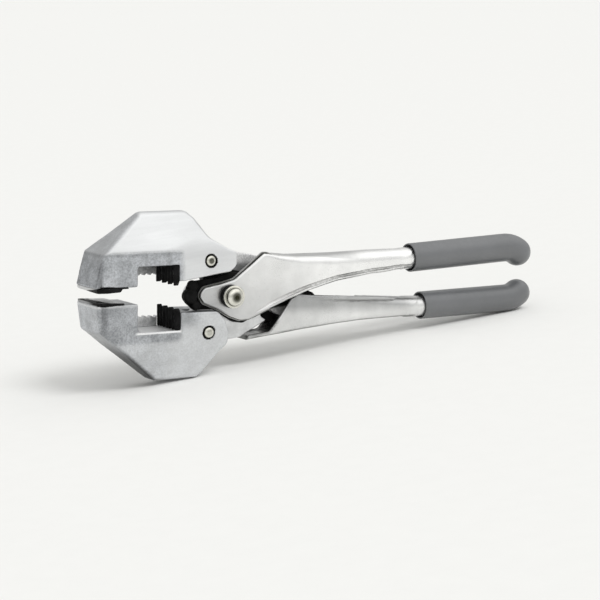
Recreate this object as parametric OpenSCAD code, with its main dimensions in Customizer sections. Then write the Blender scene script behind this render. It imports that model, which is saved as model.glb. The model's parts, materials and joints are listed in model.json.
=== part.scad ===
// Hand nibbler with two cast jaws, crossed levers on one pivot bolt and vinyl grips.
// Drawn along X with the jaws at -X, then stood on the corner of its lower jaw's foot and its lower grip.

/* [Jaws] */
// Thickness of both jaw castings, front to back
jaw_depth = 38; // [37:0.5:40]
// Height of the upper jaw's top edge above the mid-line
upper_top = 62.5; // [61:0.5:64]
// Thickness left at the upper jaw's top edge
upper_ridge = 8; // [6:1:14]
// Depth of the lower jaw's foot below the mid-line
lower_foot = 65; // [64.5:0.5:65.5]
// Thickness of the lower jaw's foot
foot_width = 20; // [16:1:24]
// Right-hand wall of the work notch
notch_right = -49; // [-49.2:0.1:-48.8]
// Left-hand wall of the work notch
notch_left = -83.5; // [-86:0.5:-82]
// Height of the notch in the upper jaw
notch_up = 23; // [22.5:0.5:24]
// Depth of the notch in the lower jaw
notch_down = 26.5; // [26:0.5:27.5]
// Depth of the step round the notch on each face of a jaw
panel_step = 1.5; // [1:0.1:2]

/* [Pivot] */
// Radius of the pivot bolt's shank
bolt_r = 6; // [5.5:0.25:6.25]
// Radius of the pivot bolt's domed head
bolt_head_r = 8.8; // [8.5:0.1:9.5]
// Radial running clearance of the pivot
run_gap = 0.06; // [0.03:0.01:0.1]

/* [Levers] */
// Outer half width of the upper handle's pressed channel
upper_half = 16; // [15.9:0.1:16]
// Outer half width of the lower handle's channel
lower_half = 10.7; // [10.6:0.1:10.7]
// Sheet thickness of the lower handle
sheet = 2.2; // [2.1:0.1:2.2]

/* [Grips] */
// Outer radius of the upper grip
upper_grip_r = 11.6; // [11.2:0.1:11.8]
// Outer radius of the lower grip
lower_grip_r = 11.2; // [11:0.1:11.4]
// Radius of the steel tube inside both grips
tube_r = 7.3; // [7:0.1:7.6]

/* [Stance] */
// Slope of the tool's length when it stands on its foot and lower grip
stance = 6.5; // [6.4:0.1:6.6]

/* [Hidden] */
$fn = 64;

// pivot, rivet and screw centres in the drawing plane
piv = [-5, -3];
riv_u = [-23, 25];
riv_l = [-24.5, -29.5];
up_riv = [[47, 6], [53, 18]];
low_riv = [[60, -16], [73, -17.5]];
core_scr = [[-26, -9.3], [32, 12]];
blade_y = [-11, 12];
insert_y = [-10, 10];
hd = jaw_depth / 2;
// slopes of the two grips' centrelines and the bend of their hooked ends
up_slope = 2.7;
low_slope = 1;
up_hook = 38;
low_hook = 34;
hook_r = 22;
// place of the drawing in the standing tool
lift = 61.2;
shift = -84.6;

silver = [0.80, 0.81, 0.82];
steel = [0.74, 0.75, 0.76];
nickel = [0.70, 0.68, 0.62];
black = [0.05, 0.05, 0.05];
bronze = [0.72, 0.55, 0.30];
grip_grey = [0.45, 0.46, 0.47];

module stand() { translate([shift, 0, lift]) rotate([0, stance, 0]) children(); }

// a plate drawn in X and Z, from y0 at the front to y1 at the back
module slab(y0, y1) { translate([0, y1, 0]) rotate([90, 0, 0]) linear_extrude(height = y1 - y0) children(); }
// a shape drawn in X and Y, tall in Z
module plan() { translate([0, 0, -60]) linear_extrude(height = 120) children(); }
// a cylinder along Y
module ycyl(p, r, y0, y1) { translate([p[0], y1, p[1]]) rotate([90, 0, 0]) cylinder(h = y1 - y0, r = r); }
// a bar along X whose section is drawn in Y and Z
module bar(x0, x1) { translate([x0, 0, 0]) rotate([90, 0, 90]) linear_extrude(height = x1 - x0) children(); }
// a domed cap of radius r and height h, its rim at y, facing the front or the back
module dome_front(p, r, h, y) {
  R = (r * r + h * h) / (2 * h);
  translate([p[0], y, p[1]]) rotate([90, 0, 0]) intersection() {
    translate([0, 0, h - R]) sphere(r = R);
    cylinder(h = h + 1, r = r + 1);
  }
}
module dome_back(p, r, h, y) { mirror([0, 1, 0]) dome_front(p, r, h, -y); }

// ---- jaws
module upper_profile() polygon([[-117, 8], [-112, 32.5], [-75.5, upper_top], [-38, upper_top], [-32, 59.5],
  [-22, 42.5], [-14.5, 36.5], [-7, 33.2], [-1, 31], [-1, 21], [-3.5, 17.3], [-8, 15.8], [notch_right, 10.5],
  [notch_right, notch_up], [notch_left, notch_up], [notch_left, 8]]);
module upper_section() polygon([[-hd, 0], [-hd, 33], [-upper_ridge / 2, upper_top], [upper_ridge / 2, upper_top],
  [hd, 33], [hd, 0]]);
module upper_jaw() color(silver) stand() difference() {
  intersection() {
    slab(-hd, hd) upper_profile();
    bar(-120, 5) upper_section();
  }
  // shallow step round the notch on both faces
  slab(-hd - 10, -hd + panel_step) polygon([[-120, 0], [-120, 33], [-46, 33], [-46, 0]]);
  slab(hd - panel_step, hd + 10) polygon([[-120, 0], [-120, 33], [-46, 33], [-46, 0]]);
  // slot that takes the arm
  slab(0.5, 8.6) polygon([[-40.2, 0], [-40.2, 30], [10, 30], [10, 0]]);
  ycyl(riv_u, 4.05, -30, 30);
  ycyl(riv_u, 5.3, -30, -hd + 2);
  ycyl(riv_u, 5.3, hd - 2, 30);
  // tapped holes of the blade and of the insert
  for (y = blade_y) translate([-111, y, 6]) cylinder(h = 12, r = 1.55);
  for (y = insert_y) translate([-50, y, 16.5]) rotate([0, 90, 0]) cylinder(h = 9.3, r = 1.75);
}
module upper_jaw_arm() color(steel) stand() difference() {
  slab(0.6, 8.5) polygon([[-40, 17], [-40, 29.8], [-14, 29.8], [6, 29], [22, 26.5], [30, 24], [31, 18], [27, 6], [40, -5],
    [52, -7.5], [80, -10], [80, -24], [60, -25], [46, -19.5], [37, -12.5], [22, -16], [12, -19], [-2, -20.5], [-13, -16],
    [-18.5, -7], [-18.5, 3], [-21, 14]]);
  ycyl(piv, 8, -30, 30);
  ycyl(riv_u, 4.05, -30, 30);
  for (p = low_riv) ycyl(p, 3.05, -30, 30);
}
module lower_profile() polygon([[-116.5, -4.5], [notch_left, -4.8], [notch_left, -notch_down], [-48.2, -notch_down],
  [-48.2, -13], [-17, -13.6], [-11.5, -19.5], [-8, -27], [-7, -33], [-7.6, -39.5], [-14, -46], [-24.5, -58.5],
  [-28, -62.6], [-31, -lower_foot], [-66, -lower_foot], [-114.5, -25]]);
module lower_section() polygon([[-hd, 0], [-hd, -34], [-foot_width / 2, -lower_foot], [foot_width / 2, -lower_foot],
  [hd, -34], [hd, 0]]);
module lower_jaw() color(silver) stand() difference() {
  intersection() {
    slab(-hd, hd) lower_profile();
    bar(-120, 5) lower_section();
  }
  slab(-hd - 10, -hd + panel_step) polygon([[-120, 0], [-120, -34], [-45.5, -34], [-45.5, 0]]);
  slab(hd - panel_step, hd + 10) polygon([[-120, 0], [-120, -34], [-45.5, -34], [-45.5, 0]]);
  slab(-8.5, -0.5) polygon([[-39.2, 0], [-39.2, -38.2], [10, -38.2], [10, 0]]);
  ycyl(riv_l, 4.05, -30, 30);
  ycyl(riv_l, 5.3, -30, -hd + 2);
  ycyl(riv_l, 5.3, hd - 2, 30);
  for (y = blade_y) translate([-111, y, -16]) cylinder(h = 14, r = 1.55);
  for (y = insert_y) translate([-50, y, -18]) rotate([0, 90, 0]) cylinder(h = 10, r = 1.75);
}
module lower_jaw_arm() color(silver) stand() difference() {
  slab(-8.4, -0.6) polygon([[-39, -18], [-39, -35], [-20, -38], [-8, -38], [-3, -37.2], [2, -37], [8, -36], [14, -32.7],
    [30.6, -24.3], [24, -20.5], [33, -10], [42, -3], [52, -0.5], [60, 2], [60, 23], [44, 23], [24, 14], [8, 8], [-10, 3],
    [-20, -3], [-31, -5], [-31, -12]]);
  ycyl(piv, bolt_r + 0.05, -30, 30);
  ycyl(riv_l, 4.05, -30, 30);
  for (p = up_riv) ycyl(p, 3.05, -30, 30);
  for (p = core_scr) ycyl(p, 1.25, -30, 30);
}
// a jaw rivet with a domed end sunk in each cheek
module jaw_rivet(p) {
  ycyl(p, 4, -hd + 1.9, hd - 1.9);
  ycyl(p, 4.7, -hd + 0.1, -hd + 1.9);
  ycyl(p, 4.7, hd - 1.9, hd - 0.1);
  dome_front(p, 4.7, 1.3, -hd + 0.1);
  dome_back(p, 4.7, 1.3, hd - 0.1);
}
module upper_jaw_rivet() color(nickel) stand() jaw_rivet(riv_u);
module lower_jaw_rivet() color(nickel) stand() jaw_rivet(riv_l);

// ---- cutting edges and toothed inserts
module upper_blade() color(black) stand() difference() {
  slab(-17, 18) polygon([[-115, 7.95], [-114.6, 4.2], [-108, 4.2], [-106.8, 6.3], [-93, 6.6], [-92.4, 7.95]]);
  for (y = blade_y) translate([-111, y, 0]) { cylinder(h = 12, r = 1.6); cylinder(h = 6.2, r = 2.9); }
}
module lower_blade() color(black) stand() difference() {
  slab(-17, 18) polygon([[-115.6, -4.45], [-115.2, -0.9], [-108.4, -0.9], [-107, -2.8], [-95, -3.1], [-94.4, -4.45]]);
  for (y = blade_y) { translate([-111, y, -10]) cylinder(h = 12, r = 1.6); translate([-111, y, -2.8]) cylinder(h = 4, r = 2.9); }
}
module upper_blade_screws() color(steel) stand() for (y = blade_y) {
  translate([-111, y, 6.1]) cylinder(h = 11, r = 1.5);
  translate([-111, y, 4.6]) cylinder(h = 1.55, r = 2.8);
}
module lower_blade_screws() color(steel) stand() for (y = blade_y) {
  translate([-111, y, -15.5]) cylinder(h = 12.8, r = 1.5);
  translate([-111, y, -2.75]) cylinder(h = 1.45, r = 2.8);
}
// a ridged plate on the notch's right-hand wall, its ridges standing out past one end
module ridged_plate(x, z0, z1, low, high) {
  translate([x - 2.4, -17.2, z0]) cube([2.4, 35, z1 - z0]);
  for (i = [0 : 6]) {
    t = i % 2 == 0 ? 1.4 : 0.6;
    translate([x - 2.4, -14.7 + 5 * i, z0 - low * t]) cylinder(h = z1 - z0 + (low + high) * t, r = 1.5);
  }
}
module insert_hole(x, y, z) translate([x, y, z]) rotate([0, 90, 0]) { translate([0, 0, -8]) cylinder(h = 16, r = 1.8); translate([0, 0, -8]) cylinder(h = 7.05, r = 3.1); }
module insert_screw(x, y, z) translate([x, y, z]) rotate([0, 90, 0]) {
  translate([0, 0, -0.95]) cylinder(h = 9, r = 1.7);
  difference() { translate([0, 0, -2.9]) cylinder(h = 1.95, r = 3); translate([0, 0, -3.9]) cylinder(h = 2.2, r = 1.5, $fn = 6); }
}
module upper_toothed_insert() color(black) stand() difference() {
  ridged_plate(notch_right - 0.05, 9.6, notch_up - 0.1, 1, 0);
  for (y = insert_y) insert_hole(notch_right, y, 16.5);
}
module lower_toothed_insert() color(black) stand() difference() {
  ridged_plate(-48.25, -notch_down + 0.1, -9.6, 0, 1);
  for (y = insert_y) insert_hole(-48.2, y, -18);
}
module upper_insert_screws() color(steel) stand() for (y = insert_y) insert_screw(notch_right, y, 16.5);
module lower_insert_screws() color(steel) stand() for (y = insert_y) insert_screw(-48.2, y, -18);
// a wavy strip across the back of the notch
module wavy(x0, x1, z0, z1, n, up) slab(13, 17.4) difference() {
  polygon([[x0, z0], [x1, z0], [x1, z1], [x0, z1]]);
  for (i = [0 : n - 1]) translate([x0 + (i + 0.5) * (x1 - x0) / n, up ? z1 + 0.7 : z0 - 0.7]) circle(r = 2);
}
module upper_grip_strip() color(steel) stand() wavy(notch_left + 0.1, -54, 12.8, notch_up - 0.1, 6, false);
module lower_grip_strip() color(steel) stand() wavy(notch_left + 0.1, -53.4, -notch_down + 0.1, -18.4, 6, true);

// ---- upper handle, the pressed channel that holds the pivot
module upper_handle_side() polygon([[24, 28.5], [12.5, 19.5], [-1.5, 9.3], [-13.5, 6.7], [-26.5, 4.3], [-30.3, 2], [-31.5, -1.5],
  [-30.4, -5], [-27, -7.6], [-15, -13], [-4.7, -19], [3, -21.8], [11, -22.2], [20.5, -19], [31, -14.6], [47, -8.3],
  [62.5, -1.8], [93, 4.5], [125, 7.6], [165, 9.4], [165, 25.4], [125, 26.6], [83, 27], [56, 26.3], [38, 26.8], [28, 28.3]]);
module upper_handle() color(steel) stand() difference() {
  union() {
    intersection() {
      slab(-30, 30) upper_handle_side();
      plan() polygon([[-35, -upper_half], [60, -upper_half], [150, -8.4], [165, -8], [165, 8], [150, 8.4],
        [60, upper_half], [-35, upper_half]]);
    }
    translate([160, 0, 17.2]) rotate([0, 90 - up_slope, 0]) cylinder(h = 104, r = tube_r);
  }
  // inside of the channel, open downwards
  intersection() {
    slab(-30, 30) polygon([[-40, -40], [118, -40], [118, 23.5], [36, 24.5], [34, 40], [-40, 40]]);
    plan() polygon([[-45, -11], [60, -11], [118, -6.5], [118, 6.5], [60, 11], [-45, 11]]);
  }
  // the rear sheet's upper corner is lower than the front one's
  slab(9, 30) polygon([[5, 22.6], [34, 24.2], [34, 40], [5, 40]]);
  ycyl(piv, bolt_r + 0.05, -30, 30);
  // blind in the front sheet, through in the rear one
  for (p = up_riv) ycyl(p, 3.05, -14, 30);
}
module upper_handle_rivets() color(steel) stand() for (p = up_riv) {
  ycyl(p, 3, -13.5, 16.1);
  ycyl(p, 5, 16.05, 17);
  dome_back(p, 5, 1.5, 17);
}
module rivet_sleeves() color(steel) stand() for (p = up_riv) difference() { ycyl(p, 5, -0.55, 10.95); ycyl(p, 3.05, -5, 30); }
// a round sleeve swept through rings [x, z, direction, radius], closed at both ends
module sleeve(rings, n = 32) {
  pts = [for (q = rings) for (i = [0 : n - 1]) let (t = 360 * i / n)
    [q[0] - q[3] * cos(t) * sin(q[2]), q[3] * sin(t), q[1] + q[3] * cos(t) * cos(q[2])]];
  m = len(rings);
  sides = [for (k = [0 : m - 2]) for (i = [0 : n - 1]) let (a = k * n + i, b = k * n + (i + 1) % n) each
    [[a, a + n, b], [b, a + n, b + n]]];
  polyhedron(points = pts, faces = concat([[for (i = [0 : n - 1]) i]], sides, [[for (i = [n - 1 : -1 : 0]) (m - 1) * n + i]]), convexity = 4);
}
// a straight sleeve of slope s from (x0, z0) with a bend of radius hook_r about (cx, cz) and a round end
function grip_rings(x0, z0, s, hook, r, cx, cz) = concat([[x0, z0, s, r]],
  [for (k = [0 : 5]) let (a = 90 + s - hook * k / 5) [cx + hook_r * cos(a), cz + hook_r * sin(a), a - 90, r]],
  [for (f = [18, 36, 54, 70, 84]) let (a = 90 + s - hook, d = s - hook)
    [cx + hook_r * cos(a) + r * sin(f) * cos(d), cz + hook_r * sin(a) + r * sin(f) * sin(d), d, r * cos(f)]]);
module upper_grip() color(grip_grey) stand() difference() {
  sleeve(grip_rings(166, 17.48, up_slope, up_hook, upper_grip_r, 261, -0.1));
  translate([150, 0, 16.73]) rotate([0, 90 - up_slope, 0]) cylinder(h = 114.3, r = tube_r + 0.1);
  translate([150, 0, 16.73]) rotate([0, 90 - up_slope, 0]) cylinder(h = 32, r = upper_grip_r - 1.4);
}

// ---- lower handle, a channel open upwards
module lower_handle_side() polygon([[12, -37], [24, -35.2], [69, -30.3], [116, -29], [170, -29.4], [170, -14.7], [125, -11.2],
  [106, -9.7], [70, -7], [59, -5.8], [51.5, -8.3], [42.5, -21.1], [31.5, -32.4], [14, -34.7]]);
module lower_handle() color(steel) stand() difference() {
  union() {
    intersection() {
      slab(-30, 30) lower_handle_side();
      plan() polygon([[0, -lower_half], [82, -lower_half], [150, -7.8], [170, -7.6], [170, 7.6], [150, 7.8],
        [82, lower_half], [0, lower_half]]);
    }
    translate([165, 0, -22.1]) rotate([0, 90 - low_slope, 0]) cylinder(h = 98, r = tube_r);
  }
  intersection() {
    slab(-30, 30) polygon([[0, -34.7], [14, -34.7], [24, -33], [69, -28.1], [116, -26.8], [116, 20], [0, 20]]);
    plan() polygon([[-1, -lower_half + sheet], [82, -lower_half + sheet], [116, -6.4], [116, 6.4], [82, lower_half - sheet],
      [-1, lower_half - sheet]]);
  }
  for (p = low_riv) ycyl(p, 3.05, 0, 30);
}
module lower_handle_rivets() color(steel) stand() for (p = low_riv) {
  ycyl(p, 3, 0.7, 10.8);
  dome_back(p, 4.6, 1.6, 10.75);
}
module lower_grip() color(grip_grey) stand() mirror([0, 0, 1]) difference() {
  sleeve(grip_rings(177, 21.89, -low_slope, low_hook, lower_grip_r, 261.6, -1.6));
  translate([155, 0, 22.27]) rotate([0, 90 + low_slope, 0]) cylinder(h = 108.3, r = tube_r + 0.1);
  translate([155, 0, 22.27]) rotate([0, 90 + low_slope, 0]) cylinder(h = 38, r = lower_grip_r - 1.4);
}

// ---- pivot
module pivot_bolt() color(nickel) stand() {
  ycyl(piv, bolt_r, -20.6, 25.5);
  ycyl(piv, bolt_head_r, -23.4, -20.5);
  dome_front(piv, bolt_head_r, 3.6, -23.4);
  dome_back(piv, bolt_r, 1.3, 25.5);
}
module pivot_spacer() color(black) stand() difference() { ycyl(piv, 8.9, -20.45, -16.05); ycyl(piv, bolt_r + 0.06, -40, 30); }
module thrust_washer() color(bronze) stand() difference() { ycyl(piv, 13, -0.5, 0.5); ycyl(piv, bolt_r + 0.06, -40, 30); }
module disc_spring() color(steel) stand() translate([piv[0], 8.6, piv[1]]) rotate([-90, 0, 0]) rotate_extrude()
  polygon([[bolt_r + 0.1, 0.9], [bolt_r + 0.1, 2.3], [13, 1.4], [13, 0]]);
module rear_washer() color(steel) stand() difference() { ycyl(piv, 11.5, 16.05, 17.8); ycyl(piv, bolt_r + 0.06, -40, 30); }
module pivot_nut() color(steel) stand() difference() {
  translate([piv[0], 24.6, piv[1]]) rotate([90, 0, 0]) cylinder(h = 6.7, r = 10.4, $fn = 6);
  ycyl(piv, bolt_r + 0.03, -40, 30);
}
module pivot_bush() color(bronze) stand() difference() { ycyl(piv, 7.98, 0.7, 8.4); ycyl(piv, bolt_r + run_gap, -40, 30); }
// black plate that fills the throat between the jaws behind the front sheet
module core_plate() color(black) stand() difference() {
  slab(-10.95, -8.45) polygon([[-43.4, -7], [-43.8, 0], [-42.6, 5.6], [-38, 8.6], [-30, 9.6], [-14, 11.6], [-6, 14], [-2, 15], [4, 14],
    [9, 14.5], [14, 16], [30, 20], [40, 18], [40, 4], [22, -16], [17, -21.5], [8, -25], [-1, -23.5], [-12, -16.5], [-18, -12.9], [-34, -12.9], [-40, -11.5]]);
  ycyl(piv, bolt_r + 0.1, -40, 30);
  for (p = core_scr) { ycyl(p, 1.6, -40, 30); ycyl(p, 2.7, -40, -9.6); }
}
module core_plate_screws() color(black) stand() for (p = core_scr) { ycyl(p, 1.2, -9.7, -3); ycyl(p, 2.6, -10.9, -9.65); }
// rubber blocks in the lower handle that take the end of the closing stroke, one below its arm and one beside it
module closing_buffer() color(black) stand() {
  slab(-8.4, 0.7) polygon([[37.5, -31.3], [59, -29], [59, -26.4], [47, -21.5], [41.5, -22]]);
  slab(0.7, 8.4) polygon([[25, -32.4], [59, -29], [59, -26.4], [47, -21.5], [38, -14.4], [25, -17]]);
  slab(-8.3, 0.4) polygon([[60, -28], [60, -6], [62, -3.7], [68, -3.3], [72, -5], [75, -8.5], [75, -26.5]]);
}

lower_jaw();
lower_jaw_arm();
lower_jaw_rivet();
lower_blade();
lower_blade_screws();
lower_toothed_insert();
lower_grip_strip();
lower_insert_screws();
upper_handle();
upper_handle_rivets();
rivet_sleeves();
upper_grip();
core_plate();
core_plate_screws();
pivot_bolt();
pivot_spacer();
thrust_washer();
disc_spring();
rear_washer();
pivot_nut();
upper_jaw();
upper_jaw_arm();
upper_jaw_rivet();
upper_blade();
upper_blade_screws();
upper_toothed_insert();
upper_grip_strip();
upper_insert_screws();
lower_handle();
lower_handle_rivets();
lower_grip();
pivot_bush();
closing_buffer();
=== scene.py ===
import bpy, bmesh, math, json
import numpy as np
import openvdb
from mathutils import Vector, Matrix


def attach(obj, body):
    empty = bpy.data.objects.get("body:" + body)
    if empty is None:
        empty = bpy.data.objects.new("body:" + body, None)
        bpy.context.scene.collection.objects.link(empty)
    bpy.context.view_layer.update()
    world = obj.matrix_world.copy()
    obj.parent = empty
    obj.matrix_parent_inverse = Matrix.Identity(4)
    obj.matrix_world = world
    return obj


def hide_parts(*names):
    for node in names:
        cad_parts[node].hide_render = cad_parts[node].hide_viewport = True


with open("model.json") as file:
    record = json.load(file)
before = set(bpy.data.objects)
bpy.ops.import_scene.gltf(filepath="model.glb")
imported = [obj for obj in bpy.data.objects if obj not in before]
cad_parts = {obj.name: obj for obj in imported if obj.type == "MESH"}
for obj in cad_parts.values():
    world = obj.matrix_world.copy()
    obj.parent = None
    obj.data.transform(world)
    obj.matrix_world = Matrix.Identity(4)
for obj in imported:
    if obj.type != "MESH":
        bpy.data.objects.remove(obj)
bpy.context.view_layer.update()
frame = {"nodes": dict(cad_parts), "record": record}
N = frame["nodes"]
BODY = {n: b for b, ns in {
    "lower_jaw_lever": ["lower_jaw", "lower_jaw_arm", "lower_jaw_rivet", "lower_blade", "lower_blade_screws",
                        "lower_toothed_insert", "lower_grip_strip", "lower_insert_screws", "upper_handle",
                        "upper_handle_rivets", "rivet_sleeves", "upper_grip", "core_plate", "core_plate_screws",
                        "pivot_bolt", "pivot_spacer", "thrust_washer", "disc_spring", "rear_washer", "pivot_nut"],
    "upper_jaw_lever": ["upper_jaw", "upper_jaw_arm", "upper_jaw_rivet", "upper_blade", "upper_blade_screws",
                        "upper_toothed_insert", "upper_grip_strip", "upper_insert_screws", "lower_handle",
                        "lower_handle_rivets", "lower_grip", "pivot_bush", "closing_buffer"]}.items() for n in ns}
SLOT_OF = {s["node"]: s["material_slot"] for s in frame["record"]["subparts"]}

# ------------------------------------------------------------------ drawing frame -> standing frame
STANCE = math.radians(6.5)
LIFT, SHIFT = 0.0612, -0.0846
CS, SN = math.cos(STANCE), math.sin(STANCE)
STAND = Matrix(((CS, 0, SN, SHIFT), (0, 1, 0, 0), (-SN, 0, CS, LIFT), (0, 0, 0, 1)))
STAND_BACK = STAND.inverted()
PIV = (-5.0, -3.0)


def w(x, y, z):
    """a point of the drawing in millimetres, as a point of the standing tool in metres"""
    return STAND @ Vector((x / 1000.0, y / 1000.0, z / 1000.0))


def stand_array(p):
    """the same for an array of points in millimetres"""
    q = np.asarray(p, dtype=np.float64) / 1000.0
    out = np.empty_like(q)
    out[:, 0] = CS * q[:, 0] + SN * q[:, 2] + SHIFT
    out[:, 1] = q[:, 1]
    out[:, 2] = -SN * q[:, 0] + CS * q[:, 2] + LIFT
    return out


# ------------------------------------------------------------------ camera
def make_camera():
    psi, phi, roll = math.radians(30), math.radians(7.2), math.radians(0.6)
    fwd = Vector((math.sin(psi) * math.cos(phi), math.cos(psi) * math.cos(phi), -math.sin(phi)))
    right = fwd.cross(Vector((0, 0, 1))).normalized()
    up = right.cross(fwd)
    r2 = math.cos(roll) * right + math.sin(roll) * up
    u2 = -math.sin(roll) * right + math.cos(roll) * up
    off = Vector((-56.3, 8.0, 1538.0))
    pos = -(r2 * off.x + u2 * off.y + fwd * off.z)
    rot = STAND.to_3x3()
    m = Matrix((rot @ r2, rot @ u2, -(rot @ fwd))).transposed().to_4x4()
    m.translation = w(*pos)
    cam = bpy.data.cameras.new("camera")
    cam.lens = 120.0
    cam.sensor_width = 36.0
    cam.clip_start, cam.clip_end = 0.05, 50.0
    o = bpy.data.objects.new("camera", cam)
    bpy.context.scene.collection.objects.link(o)
    o.matrix_world = m
    bpy.context.scene.camera = o
    return o


cam = make_camera()
bpy.context.scene.view_settings.view_transform = "Standard"
bpy.context.scene.view_settings.look = "None"


# ------------------------------------------------------------------ node helper
class Mat:
    def __init__(self, name):
        self.m = bpy.data.materials.new(name)
        self.m.use_nodes = True
        self.t = self.m.node_tree
        self.b = self.t.nodes["Principled BSDF"]
        self.co = self.add("ShaderNodeTexCoord").outputs["Object"]

    def add(self, kind):
        return self.t.nodes.new(kind)

    def put(self, sock, v):
        if isinstance(v, bpy.types.NodeSocket):
            self.t.links.new(v, sock)
        else:
            sock.default_value = v

    def noise(self, scale, detail=3.0, rough=0.55, stretch=None, dist=0.0):
        n = self.add("ShaderNodeTexNoise")
        n.inputs["Scale"].default_value = scale
        n.inputs["Detail"].default_value = detail
        n.inputs["Roughness"].default_value = rough
        n.inputs["Distortion"].default_value = dist
        src = self.co
        if stretch:
            mp = self.add("ShaderNodeMapping")
            mp.inputs["Scale"].default_value = stretch
            self.put(mp.inputs["Vector"], self.co)
            src = mp.outputs["Vector"]
        self.put(n.inputs["Vector"], src)
        return n.outputs["Fac"]

    def cells(self, scale, feature="F1"):
        n = self.add("ShaderNodeTexVoronoi")
        n.feature = feature
        n.inputs["Scale"].default_value = scale
        self.put(n.inputs["Vector"], self.co)
        return n.outputs["Distance"]

    def ramp(self, v, a, b, lo=0.0, hi=1.0):
        n = self.add("ShaderNodeMapRange")
        n.interpolation_type = "SMOOTHSTEP"
        self.put(n.inputs["Value"], v)
        n.inputs["From Min"].default_value = a
        n.inputs["From Max"].default_value = b
        n.inputs["To Min"].default_value = lo
        n.inputs["To Max"].default_value = hi
        return n.outputs["Result"]

    def math(self, op, a, b=0.0):
        n = self.add("ShaderNodeMath")
        n.operation = op
        self.put(n.inputs[0], a)
        self.put(n.inputs[1], b)
        return n.outputs[0]

    def mix(self, f, a, b):
        n = self.add("ShaderNodeMix")
        n.data_type = "RGBA"
        self.put(n.inputs[0], f)
        self.put(n.inputs[6], (*a, 1) if isinstance(a, tuple) else a)
        self.put(n.inputs[7], (*b, 1) if isinstance(b, tuple) else b)
        return n.outputs[2]

    def scale_colour(self, c, f):
        n = self.add("ShaderNodeVectorMath")
        n.operation = "SCALE"
        self.put(n.inputs[0], c)
        self.put(n.inputs[3], f)
        return n.outputs[0]

    def attr(self, name):
        n = self.add("ShaderNodeAttribute")
        n.attribute_name = name
        return n.outputs["Fac"]

    def bump(self, height, strength=0.3, distance=0.0003, after=None):
        n = self.add("ShaderNodeBump")
        n.inputs["Distance"].default_value = distance
        self.put(n.inputs["Strength"], strength)
        self.put(n.inputs["Height"], height)
        if after is not None:
            self.put(n.inputs["Normal"], after)
        return n.outputs["Normal"]

    def set(self, **kw):
        names = {"col": "Base Color", "metal": "Metallic", "rough": "Roughness", "spec": "Specular IOR Level",
                 "normal": "Normal", "coat": "Coat Weight", "coat_rough": "Coat Roughness", "sheen": "Sheen Weight"}
        for k, v in kw.items():
            self.put(self.b.inputs[names[k]], (*v, 1) if k == "col" and isinstance(v, tuple) else v)
        return self.m


# ------------------------------------------------------------------ materials
def casting():
    s = Mat("jaw_casting")
    finish_and_painted_light = s.attr("finish_and_painted_light")
    pits = s.noise(1500, 4, 0.65)
    grain = s.noise(720, 5, 0.62)
    cloud = s.noise(85, 3, 0.55)
    wide = s.noise(24, 2, 0.5)
    streak = s.noise(260, 3, 0.6, stretch=(0.10, 1.0, 1.0))
    speck = s.ramp(s.noise(900, 3, 0.7), 0.57, 0.70)
    bright = s.scale_colour((0.80, 0.81, 0.82), s.ramp(wide, 0.3, 0.7, 0.95, 1.03))
    bright = s.scale_colour(bright, s.ramp(streak, 0.3, 0.7, 0.97, 1.02))
    grey = s.scale_colour((0.50, 0.515, 0.54), s.ramp(grain, 0.33, 0.66, 0.80, 1.18))
    grey = s.scale_colour(grey, s.ramp(cloud, 0.3, 0.7, 0.76, 1.12))
    col = s.mix(finish_and_painted_light, bright, grey)
    col = s.mix(s.math("MULTIPLY", speck, s.ramp(finish_and_painted_light, 0, 1, 0.08, 0.34)), col, (0.28, 0.285, 0.29))
    rough = s.math("ADD", s.ramp(finish_and_painted_light, 0, 1, 0.38, 0.46), s.math("MULTIPLY", s.math("SUBTRACT", pits, 0.5), 0.22))
    h = s.math("ADD", s.math("MULTIPLY", grain, 0.7), s.math("MULTIPLY", pits, 0.35))
    nrm = s.bump(h, s.ramp(finish_and_painted_light, 0, 1, 0.07, 0.50), 0.0005)
    nrm = s.bump(wide, 0.08, 0.004, nrm)
    # painted shade: one mask mixes near-black into recesses, creases, seams and undersides where shade falls; painted
    # light: the other makes the lit notch floor whiter and less metallic
    soot, pale = s.attr("soot"), s.attr("pale")
    col = s.mix(soot, col, (0.02, 0.02, 0.02))
    col = s.mix(pale, col, (0.93, 0.93, 0.925))
    return s.set(col=col, metal=s.math("SUBTRACT", 1.0, s.math("MULTIPLY", pale, 0.7)), rough=rough, normal=nrm)


def handle_steel():
    s = Mat("handle_steel")
    darkening = s.attr("finish_and_painted_light")
    pits = s.noise(1300, 4, 0.65)
    cloud = s.noise(75, 4, 0.55)
    wide = s.noise(26, 2, 0.5)
    line = s.noise(420, 3, 0.6, stretch=(0.12, 1.0, 1.0))
    speck = s.ramp(s.noise(760, 2, 0.7), 0.62, 0.74)
    col = s.scale_colour((0.965, 0.965, 0.96), s.ramp(cloud, 0.3, 0.7, 0.95, 1.03))
    # the first mask darkens the steel: painted shade inside the channel, and a darker tone towards the pivot end and
    # the edges; the second mask adds near-black painted shade in grooves, seams and along the bottom edge
    col = s.mix(s.math("MULTIPLY", darkening, 0.75), col, s.scale_colour((0.22, 0.225, 0.23), s.ramp(cloud, 0.3, 0.7, 0.85, 1.2)))
    col = s.mix(s.math("MULTIPLY", speck, 0.30), col, (0.30, 0.30, 0.29))
    col = s.mix(s.attr("soot"), col, (0.030, 0.030, 0.022))
    rough = s.math("ADD", s.ramp(wide, 0.3, 0.7, 0.27, 0.37), s.math("MULTIPLY", s.math("SUBTRACT", pits, 0.5), 0.25))
    h = s.math("ADD", s.math("MULTIPLY", pits, 0.5), s.math("MULTIPLY", line, 0.5))
    nrm = s.bump(h, 0.16, 0.0003)
    nrm = s.bump(wide, 0.10, 0.004, nrm)
    return s.set(col=col, metal=1.0, rough=rough, normal=nrm)


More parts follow.
